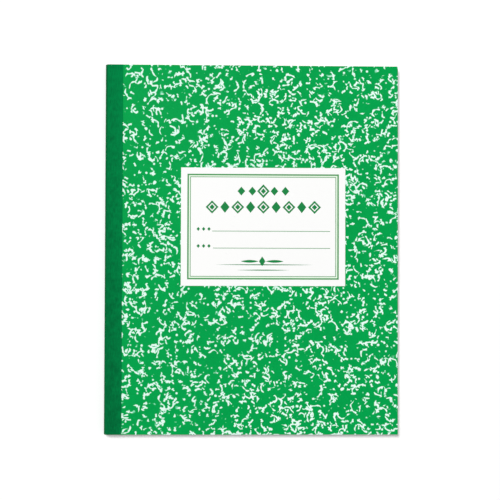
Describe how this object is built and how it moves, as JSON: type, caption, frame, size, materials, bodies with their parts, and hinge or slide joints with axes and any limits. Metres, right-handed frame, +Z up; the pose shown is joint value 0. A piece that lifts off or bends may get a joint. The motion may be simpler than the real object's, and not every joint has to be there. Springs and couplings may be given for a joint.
{
  "type": "composition notebook",
  "caption": "Closed sewn notebook: folded leaves in two marbled card covers that turn at the cloth-taped spine, with a bordered blank label on the front.",
  "frame": {"origin": "on the surface that the closed notebook lies on, under the middle of its outline", "axes": "+X from the spine to the fore edge, +Y from foot to head, +Z up, out of the front cover"},
  "size_m": [0.1968, 0.2476, 0.0063],
  "materials": {
    "leaf_paper": "matt",
    "marbled_card": "satin",
    "spine_cloth": "woven",
    "sewing_thread": "spun",
    "label_paper": "satin"
  },
  "bodies": {
    "back": {"back_cover": "marbled_card", "spine_tape_back": "spine_cloth"},
    "pages": {"page_block": "leaf_paper", "needle_thread": "sewing_thread", "bobbin_thread": "sewing_thread"},
    "front": {"front_cover": "marbled_card", "spine_tape_front": "spine_cloth", "cover_label": "label_paper"}
  },
  "joints": [
    {"name": "back_cover_fold", "type": "hinge", "parent": "back", "child": "pages", "pos_m": [-0.09842, 0, 0.00315], "axis": [0, 1, 0], "range_deg": [-180, 0]},
    {"name": "front_cover_fold", "type": "hinge", "parent": "pages", "child": "front", "pos_m": [-0.09842, 0, 0.00315], "axis": [0, -1, 0], "range_deg": [0, 180]}
  ]
}
